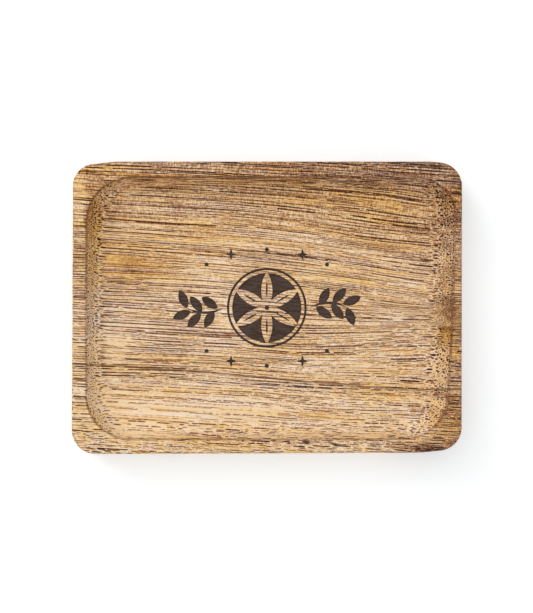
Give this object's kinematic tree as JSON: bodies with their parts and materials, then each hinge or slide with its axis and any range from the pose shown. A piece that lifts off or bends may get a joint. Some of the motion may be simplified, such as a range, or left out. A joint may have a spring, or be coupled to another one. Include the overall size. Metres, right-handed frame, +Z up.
{
  "type": "coin tray",
  "caption": "Shallow rectangular tray carved from one block of wood, with a flat-floored, sloped-wall well for loose coins and small items.",
  "frame": {"origin": "middle of the underside, on the surface that the tray stands on", "axes": "+X along the tray's length and the run of the grain, +Y across it towards the back side, +Z up out of the well"},
  "size_m": [0.1024, 0.0768, 0.0127],
  "materials": {
    "mango_wood": "oiled, satin, with a burnt-in ornament on the floor of the well"
  },
  "bodies": {
    "root": {"tray": "mango_wood"}
  },
  "joints": []
}
